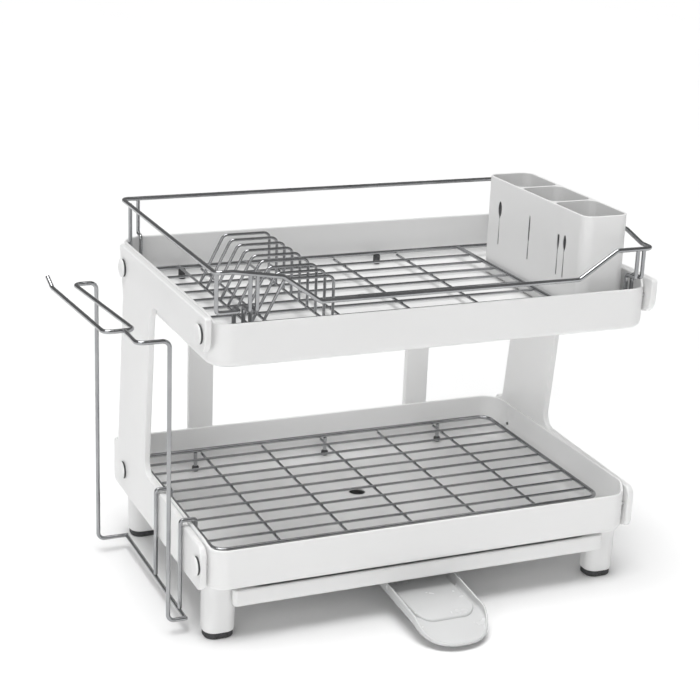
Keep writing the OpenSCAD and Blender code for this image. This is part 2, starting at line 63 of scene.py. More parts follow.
# Sizes that the boxes of the CAD nodes don't show, in millimetres and degrees
TRAY_WALL = 3
TRAY_CORNER = 24
FRONT_DROP = 7.5
DROP_START = 23
DROP_RUN = 15
DRAIN_R = 9
CAP_R = 10.0
SCREW_R = 2.0
SCREW_HEAD_R = 4.0
DRIP_WALL = 2.5
FLANGE_W = 7
NECK_Y = 46
NECK_R = 10.0
SPOUT_WALL = 2.2
HOLDER_WALL = 2.5
HOLDER_CORNER = 12
HOLDER_BAYS = 3
BAY_DRAIN_R = 3
BAY_DRAIN_PITCH = 16
RAIL_R = 2.3
RAIL_BEND = 7
RAIL_END_DROP = 8
POST_R = 2.1
THIN_R = 1.5
SLEEVE_R = 4.0
LOWER_RACK_BEND = 14
MIDDLE_LEG_X = 6
DIVIDER_COUNT = 9
DIVIDER_RUN = 26
DIVIDER_BEND = 7
UPPER_ROWS = 8
LOWER_ROWS = 9
BOARD_R = 2.2
BOARD_BEND = 7
SHARP_ANGLE = 32

# Y and Z of the screws through the left side frame
SIDE_SCREWS = [(15, 322), (270, 318), (15, 85), (272, 85)]


# ---------- Geometry ----------

def to_row(p):
    """Point of the rack's own frame, in the row frame."""
    return ORIGIN + Vector(p) * MM


def node_box(node):
    """Lowest and highest corner of a CAD node, in the rack's own frame."""
    low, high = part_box(node)
    return (low - ORIGIN) / MM, (high - ORIGIN) / MM


def join(*parts):
    """One (points, faces) from several."""
    points, faces = [], []
    for part_points, part_faces in parts:
        start = len(points)
        points += [Vector(p) for p in part_points]
        faces += [[start + i for i in face] for face in part_faces]
    return points, faces


def moved(part, matrix):
    return [matrix @ Vector(p) for p in part[0]], part[1]


def rounded(corners, step=9):
    """Closed outline through (x, y, radius) corners, with arcs of about step degrees a side."""
    outline = []
    count = len(corners)
    for i, (x, y, radius) in enumerate(corners):
        p = Vector((x, y))
        to_last = (Vector(corners[i - 1][:2]) - p).normalized()
        to_next = (Vector(corners[(i + 1) % count][:2]) - p).normalized()
        half = math.acos(max(-1, min(1, to_last.dot(to_next)))) / 2
        centre = p + (to_last + to_next).normalized() * radius / math.sin(half)
        start = p + to_last * radius / math.tan(half) - centre
        turn = -1 if to_last.cross(to_next) > 0 else 1
        sweep = turn * (math.pi - 2 * half)
        steps = max(2, round(abs(math.degrees(sweep)) / step))
        for k in range(steps + 1):
            outline.append(centre + Matrix.Rotation(sweep * k / steps, 2) @ start)
    return outline


def inset(outline, distance):
    """The outline, which runs anticlockwise, drawn in by distance."""
    drawn = []
    for i, p in enumerate(outline):
        before = (p - outline[i - 1]).normalized()
        after = (outline[(i + 1) % len(outline)] - p).normalized()
        inward = Vector((-before.y - after.y, before.x + after.x)).normalized()
        drawn.append(p + inward * distance / max(0.3, inward.dot(Vector((-before.y, before.x)))))
    return drawn


def ease(t):
    """Smooth rise from 0 to 1."""
    t = max(0, min(1, t))
    return t * t * (3 - 2 * t)


def quarter(steps=5):
    """Pairs (sine, 1 - cosine) round a quarter circle."""
    turns = [math.pi / 2 * k / steps for k in range(steps + 1)]
    return [(math.sin(a), 1 - math.cos(a)) for a in turns]


def loft(rings, cap_first=False, cap_last=False, around=False):
    """Skin through rings with the same number of points. around joins the last ring to the first."""
    count = len(rings[0])
    points = [Vector(p) for ring in rings for p in ring]
    faces = []
    for k in range(len(rings) if around else len(rings) - 1):
        here, there = k * count, (k + 1) % len(rings) * count
        for i in range(count):
            j = (i + 1) % count
            faces.append([here + i, here + j, there + j, there + i])
    if cap_first:
        faces.append(list(range(count - 1, -1, -1)))
    if cap_last:
        start = (len(rings) - 1) * count
        faces.append(list(range(start, start + count)))
    return points, faces


def slab(outline, low, high, edge, place):
    """Plate with rounded edges. place(u, v, t) puts outline point (u, v) at depth t."""
    rings = [(edge * (1 - s), low + edge * c) for s, c in quarter(4)]
    rings += [(edge * c, high - edge * (1 - s)) for s, c in quarter(4)]
    skins = [[place(p.x, p.y, depth) for p in inset(outline, draw)] for draw, depth in rings]
    return loft(skins, True, True)


def box_ring(box, draw, corner, z, steps=8):
    """Rounded rectangle (x0, y0, x1, y1), drawn in by draw, at height z."""
    x0, y0, x1, y1 = box[0] + draw, box[1] + draw, box[2] - draw, box[3] - draw
    r = max(corner - draw, 0.8)
    centres = [(x0 + r, y0 + r), (x1 - r, y0 + r), (x1 - r, y1 - r), (x0 + r, y1 - r)]
    ring = []
    for k, (cx, cy) in enumerate(centres):
        for j in range(steps + 1):
            a = math.radians(180 + 90 * k + 90 * j / steps)
            ring.append((cx + r * math.cos(a), cy + r * math.sin(a), z))
    return ring


def round_ring(x, y, r, z, steps=8):
    """Circle whose points pair with those of a box_ring with the same steps."""
    ring = []
    for k in range(4):
        for j in range(steps + 1):
            a = math.radians(225 + 90 * k + (j - steps / 2) * 90 / (steps + 1))
            ring.append((x + r * math.cos(a), y + r * math.sin(a), z))
    return ring


def block(box, low, high, corner, foot_edge, top_edge, steps=8):
    """Solid rounded box whose bottom and top edges are rounded by foot_edge and top_edge."""
    rings = [(foot_edge * (1 - s), low + foot_edge * c) for s, c in quarter()]
    rings += [(top_edge * c, high - top_edge * (1 - s)) for s, c in quarter()]
    return loft([box_ring(box, draw, corner, z, steps) for draw, z in rings], True, True)


def lathe(profile, sides=40):
    """Solid of revolution about Z from (radius, height) pairs. It closes on the axis."""
    rings = []
    for r, h in profile:
        turns = [2 * math.pi * i / sides for i in range(sides)]
        rings.append([(r * math.cos(a), r * math.sin(a), h) for a in turns])
    return loft(rings, True, True)


def bent(path, bend, closed):
    """The path's points with every corner replaced by an arc of radius bend."""
    points = [Vector(p) for p in path]
    count = len(points)
    line = [] if closed else [points[0]]
    for i in range(count) if closed else range(1, count - 1):
        p, last, following = points[i], points[i - 1], points[(i + 1) % count]
        to_last, to_next = (last - p).normalized(), (following - p).normalized()
        half = to_last.angle(to_next) / 2
        reach = min(bend / math.tan(half), (last - p).length * 0.49, (following - p).length * 0.49)
        radius = reach * math.tan(half)
        centre = p + (to_last + to_next).normalized() * radius / math.sin(half)
        start, axis = p + to_last * reach - centre, to_next.cross(to_last).normalized()
        sweep = math.pi - 2 * half
        steps = max(2, math.ceil(math.degrees(sweep) / 10))
        for k in range(steps + 1):
            line.append(centre + Matrix.Rotation(-sweep * k / steps, 3, -axis) @ start)
    return line if closed else line + [points[-1]]


def tube(path, r, bend=1.0, closed=False, sides=14):
    """Round wire bent through the points of a path. Open ends are slightly rounded."""
    line = bent(path, bend, closed) if len(path) > 2 else [Vector(p) for p in path]
    count = len(line)
    steps = [line[(i + 1) % count] - line[i] for i in range(count)]
    if not closed:
        steps[-1] = steps[-2]
    tangents = [(steps[i - 1].normalized() + steps[i].normalized()).normalized() for i in range(count)]
    if not closed:
        tangents[0] = steps[0].normalized()
    side = tangents[0].orthogonal().normalized()
    sides_of = [side]
    for i in range(1, count):
        turn = tangents[i - 1].rotation_difference(tangents[i])
        side = (turn @ side).normalized()
        sides_of.append(side)
    twist = 0.0
    if closed:
        back = tangents[-1].rotation_difference(tangents[0]) @ sides_of[-1]
        twist = back.angle(sides_of[0]) if back.angle(sides_of[0]) > 1e-6 else 0.0
        if back.cross(sides_of[0]).dot(tangents[0]) < 0:
            twist = -twist
    rings = []
    for i in range(count):
        across = Matrix.Rotation(twist * i / count, 3, tangents[i]) @ sides_of[i]
        up = tangents[i].cross(across)
        ring = []
        for k in range(sides):
            a = 2 * math.pi * k / sides
            ring.append(line[i] + (across * math.cos(a) + up * math.sin(a)) * r)
        rings.append(ring)
    if closed:
        return loft(rings, around=True)
    edge = 0.3 * r
    for at, out in ((0, -1), (-1, 1)):
        centre = line[at]
        tip = [centre + (p - centre) * (1 - edge / r) for p in rings[at]]
        shoulder = [p - tangents[at] * out * edge for p in rings[at]]
        rings[at] = shoulder
        if at == 0:
            rings.insert(0, tip)
        else:
            rings.append(tip)
    return loft(rings, True, True)


def weld(x, y, z, r=1.5):
    """Small bead of metal where two wires are welded."""
    profile = [(r * math.cos(a), r * 0.75 * math.sin(a)) for a in
               (math.radians(d) for d in (-80, -45, 0, 45, 80))]
    return moved(lathe(profile, 10), Matrix.Translation((x, y, z)))


def combined(base, tool, operation):
    """Boolean of two closed solids."""
    objects = []
    for points, faces in (base, tool):
        mesh = bpy.data.meshes.new("solid")
        mesh.from_pydata([tuple(p) for p in points], [], faces)
        solid = bmesh.new()
        solid.from_mesh(mesh)
        bmesh.ops.recalc_face_normals(solid, faces=solid.faces)
        solid.to_mesh(mesh)
        solid.free()
        objects.append(bpy.data.objects.new("solid", mesh))
        bpy.context.scene.collection.objects.link(objects[-1])
    modifier = objects[0].modifiers.new("boolean", "BOOLEAN")
    modifier.object = objects[1]
    modifier.operation = operation
    modifier.solver = "EXACT"
    made = objects[0].evaluated_get(bpy.context.evaluated_depsgraph_get()).to_mesh()
    result = [v.co.copy() for v in made.vertices], [list(f.vertices) for f in made.polygons]
    for solid in objects:
        mesh = solid.data
        bpy.data.objects.remove(solid)
        bpy.data.meshes.remove(mesh)
    return result


def mirrored(part):
    """The part on the other side of the rack."""
    return [Vector((-p[0], p[1], p[2])) for p in part[0]], [face[::-1] for face in part[1]]


def extra(name, part, body, slot, *nodes):
    """Visible object made from a (points, faces) part, riding on a body."""
    mesh = bpy.data.meshes.new(name)
    mesh.from_pydata([tuple(to_row(p)) for p in part[0]], [], part[1])
    shape = bmesh.new()
    shape.from_mesh(mesh)
    bmesh.ops.remove_doubles(shape, verts=shape.verts, dist=1e-7)
    bmesh.ops.recalc_face_normals(shape, faces=shape.faces)
    shape.to_mesh(mesh)
    shape.free()
    mesh.shade_smooth()
    mesh.set_sharp_from_angle(angle=math.radians(SHARP_ANGLE))
    obj = bpy.data.objects.new(name, mesh)
    bpy.context.scene.collection.objects.link(obj)
    obj.modifiers.new("weighted_normals", "WEIGHTED_NORMAL").keep_sharp = True
    mesh.materials.append(MATERIALS[slot])
    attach(obj, body)
    if nodes:
        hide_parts(*nodes)
    return obj


def piece(name, part, *nodes):
    """Piece that stands for the CAD nodes named, in their material and on their body."""
    return extra(name, part, BODY_OF[nodes[0]], SLOT_OF[nodes[0]], *nodes)


# ---------- Materials ----------

def new_material(name, colour, roughness, metallic=0.0):
    made = bpy.data.materials.new(name)
    made.use_nodes = True
    shader = made.node_tree.nodes["Principled BSDF"]
    shader.inputs["Base Color"].default_value = (*colour, 1)
    shader.inputs["Roughness"].default_value = roughness
    shader.inputs["Metallic"].default_value = metallic
    return made, shader


def add_noise(made, scale, detail=3.0):
    """Noise over the object, with scale in cells a metre. Gives its output socket."""
    nodes, links = made.node_tree.nodes, made.node_tree.links
    place = nodes.new("ShaderNodeTexCoord")
    noise = nodes.new("ShaderNodeTexNoise")
    noise.inputs["Scale"].default_value = scale
    noise.inputs["Detail"].default_value = detail
    links.new(place.outputs["Object"], noise.inputs["Vector"])
    return noise.outputs["Fac"]


def vary(made, shader, socket, source, low, high):
    """Drives a shader socket between two values or colours with a noise."""
    nodes, links = made.node_tree.nodes, made.node_tree.links
    if isinstance(low, tuple):
        mix = nodes.new("ShaderNodeValToRGB")
        mix.color_ramp.elements[0].position = 0.3
        mix.color_ramp.elements[1].position = 0.7
        mix.color_ramp.elements[0].color = (*low, 1)
        mix.color_ramp.elements[1].color = (*high, 1)
        links.new(source, mix.inputs["Fac"])
        links.new(mix.outputs["Color"], shader.inputs[socket])
    else:
        spread = nodes.new("ShaderNodeMapRange")
        spread.inputs["From Min"].default_value = 0.3
        spread.inputs["From Max"].default_value = 0.7
        spread.inputs["To Min"].default_value = low
        spread.inputs["To Max"].default_value = high
        links.new(source, spread.inputs["Value"])
        links.new(spread.outputs["Result"], shader.inputs[socket])


def add_bump(made, shader, sources, distance):
    """Bump from one or more (output, strength) pairs, the coarse one first."""
    nodes, links = made.node_tree.nodes, made.node_tree.links
    last = None
    for source, strength in sources:
        bump = nodes.new("ShaderNodeBump")
        bump.inputs["Strength"].default_value = strength
        bump.inputs["Distance"].default_value = distance
        links.new(source, bump.inputs["Height"])
        if last:
            links.new(last, bump.inputs["Normal"])
        last = bump.outputs["Normal"]
    links.new(last, shader.inputs["Normal"])


def white_plastic():
    """Injection-moulded ABS: soft gloss and a very faint orange peel."""
    made, shader = new_material("white_moulded_plastic", (0.857, 0.857, 0.853), 0.32)
    vary(made, shader, "Base Color", add_noise(made, 8, 1), (0.852, 0.852, 0.848), (0.862, 0.862, 0.859))
    vary(made, shader, "Roughness", add_noise(made, 40, 2), 0.3, 0.34)
    shader.inputs["Specular IOR Level"].default_value = 0.45
    add_bump(made, shader, [(add_noise(made, 700, 1), 0.02)], 0.0002)
    return made


def spout_plastic():
    """Milky polypropylene: a little light passes through it."""
    made, shader = new_material("milky_polypropylene", (0.68, 0.685, 0.685), 0.25)
    vary(made, shader, "Base Color", add_noise(made, 20, 2), (0.67, 0.675, 0.675), (0.69, 0.695, 0.695))
    vary(made, shader, "Roughness", add_noise(made, 60, 2), 0.22, 0.28)
    shader.inputs["Transmission Weight"].default_value = 0.12
    shader.inputs["IOR"].default_value = 1.49
    add_bump(made, shader, [(add_noise(made, 600, 1), 0.02)], 0.0002)
    return made


def chrome_wire():
    """Chrome plate on drawn wire: dark mirror with faint drawing marks."""
    made, shader = new_material("chrome_plated_wire", (0.38, 0.385, 0.395), 0.15, 1.0)
    vary(made, shader, "Base Color", add_noise(made, 30, 3), (0.33, 0.335, 0.345), (0.43, 0.435, 0.445))
    vary(made, shader, "Roughness", add_noise(made, 200, 3), 0.1, 0.2)
    add_bump(made, shader, [(add_noise(made, 400, 2), 0.04)], 0.0002)
    return made


def rubber():
    """Soft dark rubber with a matt, finely pitted skin."""
    made, shader = new_material("dark_rubber", (0.05, 0.05, 0.053), 0.7)
    vary(made, shader, "Base Color", add_noise(made, 300, 3), (0.035, 0.035, 0.037), (0.075, 0.075, 0.078))
    vary(made, shader, "Roughness", add_noise(made, 700, 3), 0.6, 0.85)
    add_bump(made, shader, [(add_noise(made, 1800, 3), 0.25)], 0.0003)
    return made


def screw_steel():
    """Zinc-plated steel with fine scratches."""
    made, shader = new_material("zinc_plated_steel", (0.6, 0.6, 0.61), 0.35, 1.0)
    vary(made, shader, "Base Color", add_noise(made, 200, 4), (0.5, 0.5, 0.51), (0.68, 0.68, 0.68))
    vary(made, shader, "Roughness", add_noise(made, 800, 4), 0.25, 0.5)
    add_bump(made, shader, [(add_noise(made, 1500, 3), 0.15)], 0.0002)
    return made


def studio_floor():
    made, shader = new_material("studio_floor", (0.95, 0.95, 0.95), 0.7)
    vary(made, shader, "Base Color", add_noise(made, 3), (0.94, 0.94, 0.94), (0.96, 0.96, 0.96))
    shader.inputs["Specular IOR Level"].default_value = 0.2
    return made


MATERIALS = {
    "white_plastic": white_plastic(), "chrome_wire": chrome_wire(), "rubber": rubber(),
    "spout_plastic": spout_plastic(), "screw_steel": screw_steel(),
}


# ---------- Trays, side frames and feet ----------

def lowered(ring):
    """The ring of a rim, brought down along the tray's front."""
    return [(x, y, z - FRONT_DROP * ease((DROP_START - y) / DROP_RUN)) for x, y, z in ring]


def tray(node):
    """Open tray with a rounded rim, a filleted floor and a dished drain hole."""
    low, high = node_box(node)
    box = (low.x, low.y, high.x, high.y)
    z0, z1 = low.z, high.z
    lip, foot_edge, fillet = TRAY_WALL / 2, 6.0, 8.0
    drain_y, dish = high.y * 0.6, 1.0
    rings = [round_ring(0, drain_y, DRAIN_R, z0)]
    rings += [box_ring(box, 60, TRAY_CORNER + 36, z0)]
    rings += [box_ring(box, foot_edge * (1 - s), TRAY_CORNER, z0 + foot_edge * c) for s, c in quarter(7)]
    rings += [lowered(box_ring(box, lip * c, TRAY_CORNER, z1 - lip * (1 - s))) for s, c in quarter()]
    rings += [lowered(box_ring(box, TRAY_WALL - lip * c, TRAY_CORNER, z1 - lip * (1 - s)))
              for s, c in reversed(quarter())]
    rings += [box_ring(box, TRAY_WALL + fillet * c, TRAY_CORNER, z0 + TRAY_WALL + fillet * (1 - s))
              for s, c in quarter(7)]
    rings += [round_ring(0, drain_y, DRAIN_R + 9, z0 + TRAY_WALL)]
    rings += [round_ring(0, drain_y, DRAIN_R + 2, z0 + TRAY_WALL - dish)]
    rings += [round_ring(0, drain_y, DRAIN_R, z0 + TRAY_WALL - dish - 0.5)]
    return loft(rings, around=True)


def side_frame(side):
    """C-shaped side plate: a leaning leg between two arms that run along the trays."""
    low, high = node_box("side_frame_right")
    lower, upper = node_box("lower_tray"), node_box("upper_tray")
    depth, lower_top, upper_low = lower[1].y, lower[1].z + 1, upper[0].z
    outline = rounded([
        (6, low.z, 10), (depth, low.z, 10), (depth, lower_top, 7), (depth - 16, lower_top, 7),
        (depth - 38, upper_low - 4, 14), (depth - 25, high.z, 4), (1, high.z, 3),
        (1, upper_low + 14, 16), (depth - 136, upper_low + 14, 22),
        (depth - 116, lower_top, 16), (6, lower_top - 5, 10),
    ], 6)
    plate = slab(outline, low.x, high.x, 1.6, lambda u, v, t: (t, u, v))
    return plate if side > 0 else mirrored(plate)


def upright(node):
    low, high = node_box(node)
    outline = rounded([(low.x, low.z, 6), (high.x, low.z, 6), (high.x, high.z, 6), (low.x, high.z, 6)])
    return slab(outline, low.y, high.y, 1.5, lambda u, v, t: (u, t, v))


def foot(node):
    low, high = node_box(node)
    return block((low.x, low.y, high.x, high.y), low.z, high.z, corner=12, foot_edge=1.2, top_edge=0.6)


def foot_pad(node):
    low, high = node_box(node)
    return block((low.x, low.y, high.x, high.y), low.z, high.z, corner=10.5, foot_edge=1.2, top_edge=0.4)


def at_left_screws(part, x):
    """Copies of the part, made about Z, that point out of the left side frame at its screws."""
    outwards = Matrix.Rotation(math.radians(-90), 4, "Y")
    return join(*(moved(part, Matrix.Translation((x, y, z)) @ outwards) for y, z in SIDE_SCREWS))


def side_caps():
    """White domed caps over the screws of the left side frame."""
    low, high = node_box("screw_caps_left")
    r, h = CAP_R, high.x - low.x
    dome = [(0.4, 0.0), (r - 0.5, 0.0), (r, 0.35), (r, 0.8)]
    dome += [(r * math.cos(a), 0.8 + (h - 0.8) * math.sin(a)) for a in
             (math.radians(d) for d in range(12, 90, 11))]
    return at_left_screws(lathe(dome), high.x)


def side_seats():
    """Dark washers under the caps."""
    low, high = node_box("cap_seats_left")
    r, h = CAP_R - 0.5, high.x - low.x
    ring = [(0.4, 0.0), (r - 0.3, 0.0), (r, 0.3), (r, h - 0.3), (r - 0.3, h), (0.4, h)]
    return at_left_screws(lathe(ring), high.x)


def upright_screws():
    """Pan-head screws with a cross recess, through the uprights into the trays."""
    low, high = node_box("upright_screws")
    back = node_box("rear_upright_left")[1].y
    head_h, r, shank = high.y - back, SCREW_HEAD_R, SCREW_R
    head = [(0.3, -8.0), (shank, -8.0), (shank, 0.0), (r, 0.0), (r, 0.5)]
    head += [(r * math.cos(a), 0.5 + (head_h - 0.5) * math.sin(a)) for a in
             (math.radians(d) for d in range(15, 90, 15))]
    arm, half = 2.2, 0.55
    cross = [(half, half), (arm, half), (arm, -half), (half, -half), (half, -arm), (-half, -arm)]
    cross += [(-x, -y) for x, y in cross]
    recess = loft([[(x * s, y * s, z) for x, y in cross]
                   for s, z in ((0.35, head_h - 1.8), (1, head_h + 0.5))], True, True)
    screw = combined(lathe(head, 28), recess, "DIFFERENCE")
    turn = Matrix.Rotation(math.radians(-90), 4, "X")
    uprights = [sum(p.x for p in node_box(n)) / 2 for n in ("rear_upright_left", "rear_upright_right")]
    heights = (low.z + r, high.z - r)
    return join(*(moved(screw, Matrix.Translation((x, back, z)) @ turn) for x in uprights for z in heights))


def build_frame():
    for node in ("upper_tray", "lower_tray"):
        piece(node + "_moulding", tray(node), node)
    for side, name in ((-1, "left"), (1, "right")):
        piece(f"side_plate_{name}", side_frame(side), f"side_frame_{name}")
        piece(f"rear_post_{name}", upright(f"rear_upright_{name}"), f"rear_upright_{name}")
        for end in ("front", "rear"):
            piece(f"foot_block_{end}_{name}", foot(f"foot_{end}_{name}"), f"foot_{end}_{name}")
            piece(f"foot_rubber_{end}_{name}", foot_pad(f"foot_pad_{end}_{name}"),
                  f"foot_pad_{end}_{name}")
    piece("domed_caps_left", side_caps(), "screw_caps_left")
    piece("cap_washers_left", side_seats(), "cap_seats_left")
    piece("pan_head_screws", upright_screws(), "upright_screws")


# ---------- Drip tray and spout ----------

def drip_tray():
    """Shallow pan with a wide rounded front, side flanges and an outlet neck."""
    low, high = node_box("drip_tray")
    neck_box = node_box("drain_spout")
    z0, z1 = neck_box[1].z + 0.4, high.z
    wall, front_depth, rail_back = DRIP_WALL, 9.0, 3.4
    flange_x = node_box("drip_rail_right")[1].x - rail_back
    pan_x = flange_x - FLANGE_W
    pan = block((-pan_x, low.y + 1.5, pan_x, high.y), z0, z1, 9, 3.0, 0.8)
    front = block((low.x, low.y, high.x, low.y + front_depth), z0, z1, 4.4, 3.0, 1.4)
    body = combined(pan, front, "UNION")
    for side in (-1, 1):
        x0, x1 = sorted((side * (pan_x - 1), side * flange_x))
        flange = block((x0, 20, x1, high.y - 14), z1 - 2, z1, 1.5, 0.4, 0.4, 3)
        body = combined(body, flange, "UNION")
    lip_r = NECK_R + 1.6
    neck = [(0.5, low.z), (lip_r - 0.4, low.z), (lip_r, low.z + 0.4), (lip_r, low.z + 0.9),
            (NECK_R, low.z + 1.4), (NECK_R, z0 + 1), (0.5, z0 + 1)]
    neck = moved(lathe(neck, 48), Matrix.Translation((0, NECK_Y, 0)))
    body = combined(body, neck, "UNION")
    inside = (-pan_x + wall, low.y + wall + 1, pan_x - wall, high.y - wall)
    fillet, flare = 4.0, 0.7
    rings = [(fillet * (1 - s), z0 + wall + fillet * c) for s, c in quarter()]
    rings += [(0, z1 - flare), (-flare * 0.3, z1 - flare * 0.3), (-flare, z1), (-flare, z1 + 3)]
    hollow = loft([box_ring(inside, draw, 7, z) for draw, z in rings], True, True)
    body = combined(body, hollow, "DIFFERENCE")
    bore = lathe([(7.0, low.z - 2), (7.0, z0 + wall - 0.8), (8.2, z0 + wall + 0.6), (8.2, z0 + wall + 2)], 48)
    return combined(body, moved(bore, Matrix.Translation((0, NECK_Y, 0))), "DIFFERENCE")


def spout():
    """Scoop with a low rim and a raised middle, whose floor drops to the front, and a ring on a bridge."""
    low, high = node_box("drain_spout")
    half, front, back = high.x, low.y, high.y
    floor_back, bend_y, tip_z = 23.0, front * 0.5, low.z
    wall, rim_back, rim_front = SPOUT_WALL, 13.4, 3.4
    plan = rounded([(-half, front, half * 0.93), (half, front, half * 0.93),
                    (half, back, 20), (-half, back, 20)], 7)

    def floor_z(y):
        slope = floor_back - 4 * (back - y) / (back - bend_y)
        drop = ease((bend_y + 8 - y) / (bend_y + 8 - front))
        return slope * (1 - drop) + tip_z * drop

    def rim_h(y):
        return rim_back + (rim_front - rim_back) * ease((bend_y + 16 - y) / (bend_y + 16 - front))

    def level(points, height):
        return [(p.x, p.y, floor_z(p.y) + height(p.y)) for p in points]

    def shrunk(points, share):
        centre = Vector((0, (front + back) / 2))
        return [centre + (p - centre) * share for p in points]

    edge = wall / 2
    rings = [level(shrunk(inset(plan, 3), s), lambda y: 0.0) for s in (0.02, 0.3, 0.6, 0.85)]
    rings += [level(inset(plan, 2 * (1 - s)), lambda y, c=c: 2 * c) for s, c in quarter()]
    rings += [level(inset(plan, edge * c), lambda y, s=s: rim_h(y) - edge * (1 - s)) for s, c in quarter()]
    rings += [level(inset(plan, wall - edge * c), lambda y, s=s: rim_h(y) - edge * (1 - s))
              for s, c in reversed(quarter())]
    rings += [level(inset(plan, wall + 2.5 * c), lambda y, s=s: min(rim_h(y) - edge, wall + 2.5 * (1 - s)))
              for s, c in quarter()]
    inner = inset(plan, wall + 2.5)
    rings += [level(shrunk(inner, s), lambda y: wall) for s in (0.85, 0.6, 0.3, 0.02)]
    scoop = loft(rings, True, True)
    side, middle_front, middle_back, turn = 33, -52, NECK_Y + 20, 18
    middle = rounded([(-side, middle_front, turn), (side, middle_front, turn),
                      (side, middle_back, turn), (-side, middle_back, turn)], 9)
    steps = [(0, 1.0)] + [(1.6 * c, wall + 2 - 1.6 * (1 - s)) for s, c in quarter()]
    raised = [level(inset(middle, draw), lambda y, h=h: h) for draw, h in steps]
    raised += [level(shrunk(inset(middle, 2), s), lambda y: wall + 2) for s in (0.8, 0.5, 0.2, 0.02)]
    scoop = join(scoop, loft(raised, True, True))

    ring_r, ring_h, bridge_half = 16.0, 4.0, 14.0
    ring_low = high.z - ring_h
    bridge = block((-half + 1.2, NECK_Y - bridge_half, half - 1.2, NECK_Y + bridge_half),
                   ring_low, high.z - 1, 3, 0.6, 0.6, 4)
    collar = lathe([(0.5, ring_low), (ring_r - 0.5, ring_low), (ring_r, ring_low + 0.5),
                    (ring_r, high.z - 0.5), (ring_r - 0.5, high.z), (0.5, high.z)], 48)
    bridge = combined(bridge, moved(collar, Matrix.Translation((0, NECK_Y, 0))), "UNION")
    bore_r = NECK_R + 0.1
    bore = lathe([(bore_r, ring_low - 2), (bore_r, high.z + 2)], 48)
    bridge = combined(bridge, moved(bore, Matrix.Translation((0, NECK_Y, 0))), "DIFFERENCE")
    return join(scoop, bridge)


# ---------- Wire racks ----------

def upper_rail():
    low, high = node_box("upper_rail")
    x, front, back, top = high.x - RAIL_R, low.y + RAIL_R, high.y - RAIL_R, high.z - RAIL_R
    dip, end = low.z + RAIL_R, top - RAIL_END_DROP
    path = [(-x, front, top), (-x + 16, front, top), (-x + 67, front, end), (-x + 106, front, dip),
            (x - 84, front, dip), (x - 42, front, end), (x, front, end), (x, front + 20, end),
            (x, front + 50, top), (x, back, top), (-x, back, top)]
    return tube(path, RAIL_R, RAIL_BEND, True, 16)


def upper_rail_posts():
    """Posts from the rail, over the rim of the tray and down to the rack's frame."""
    rail, rack = node_box("upper_rail"), node_box("upper_rack_frame")
    x, top = rail[1].x - RAIL_R, rail[1].z - RAIL_R
    front, back = rail[0].y + RAIL_R, rail[1].y - RAIL_R
    in_front, in_back = rack[0].y + RAIL_R, rack[1].y - RAIL_R
    step_z, floor_z, bend = node_box("upper_tray")[1].z + RAIL_R + 0.7, rack[1].z, 3.4

    def post(at, y, high, in_y):
        return tube([(at, y, high), (at, y, step_z), (at, in_y, step_z), (at, in_y, floor_z)], POST_R, bend)

    corner_x, corner_y, in_x = -x + 2, front + 2, -x + 25
    parts = [tube([(corner_x, corner_y, top), (corner_x, corner_y, step_z), (in_x, corner_y, step_z),
                   (in_x, in_front, step_z), (in_x, in_front, floor_z)], POST_R, bend)]
    parts += [post(at - x, front, top - 3.4, in_front) for at in (34.5, 41.5)]
    parts += [post(x - at, front, top - RAIL_END_DROP, in_front) for at in (10, 17)]
    side_x, side_y = rack[1].x + POST_R, in_back - 10
    for side in (-1, 1):
        parts.append(post(side * (x - 17.5), back, top, in_back))
        parts.append(tube([(side * side_x, side_y, rack[0].z + 0.2), (side * side_x, side_y, top)], POST_R))
    return join(*parts)


def frame_wire(node, bend):
    low, high = node_box(node)
    x, front, back, z = high.x - RAIL_R, low.y + RAIL_R, high.y - RAIL_R, high.z - RAIL_R
    return tube([(-x, front, z), (x, front, z), (x, back, z), (-x, back, z)], RAIL_R, bend, True, 16)


def rows(node, count):
    """Heights and places of the floor wires: (x0, x1, [y, ...], z)."""
    low, high = node_box(node)
    first, last = low.y + THIN_R, high.y - THIN_R
    return low.x, high.x, [first + (last - first) * i / (count - 1) for i in range(count)], low.z + THIN_R


def floor_wires(node, count):
    x0, x1, ys, z = rows(node, count)
    return join(*(tube([(x0, y, z), (x1, y, z)], THIN_R, sides=12) for y in ys))


def upper_stringers():
    """Four wires under the floor wires, two that carry the dividers, and one by the holder's bay."""
    low, high = node_box("upper_rack_stringers")
    rack = node_box("upper_rack_frame")
    left, bay = rack[0].x + RAIL_R, high.x - RAIL_R
    under, z = low.z + THIN_R, rack[1].z - RAIL_R
    spacing = (bay - left) / 5
    _, _, ys, wire_z = rows("upper_rack_wires", UPPER_ROWS)
    parts = []
    for i in range(1, 5):
        x = left + i * spacing
        parts.append(tube([(x, low.y, under), (x, high.y, under)], THIN_R, sides=12))
        parts += [weld(x, y, wire_z - THIN_R) for y in ys]
    divider = node_box("plate_dividers")
    for x in (divider[0].x + THIN_R, divider[1].x - THIN_R):
        y0, y1 = rack[0].y + 2 * RAIL_R, rack[1].y - 2 * RAIL_R
        parts.append(tube([(x, y0, wire_z + 2 * THIN_R), (x, y1, wire_z + 2 * THIN_R)], THIN_R, sides=12))
        parts += [weld(x, y, wire_z + THIN_R) for y in ys]
    parts.append(tube([(bay, rack[0].y + 2 * RAIL_R, z), (bay, rack[1].y - 2 * RAIL_R, z)], RAIL_R, sides=16))
    return join(*parts)


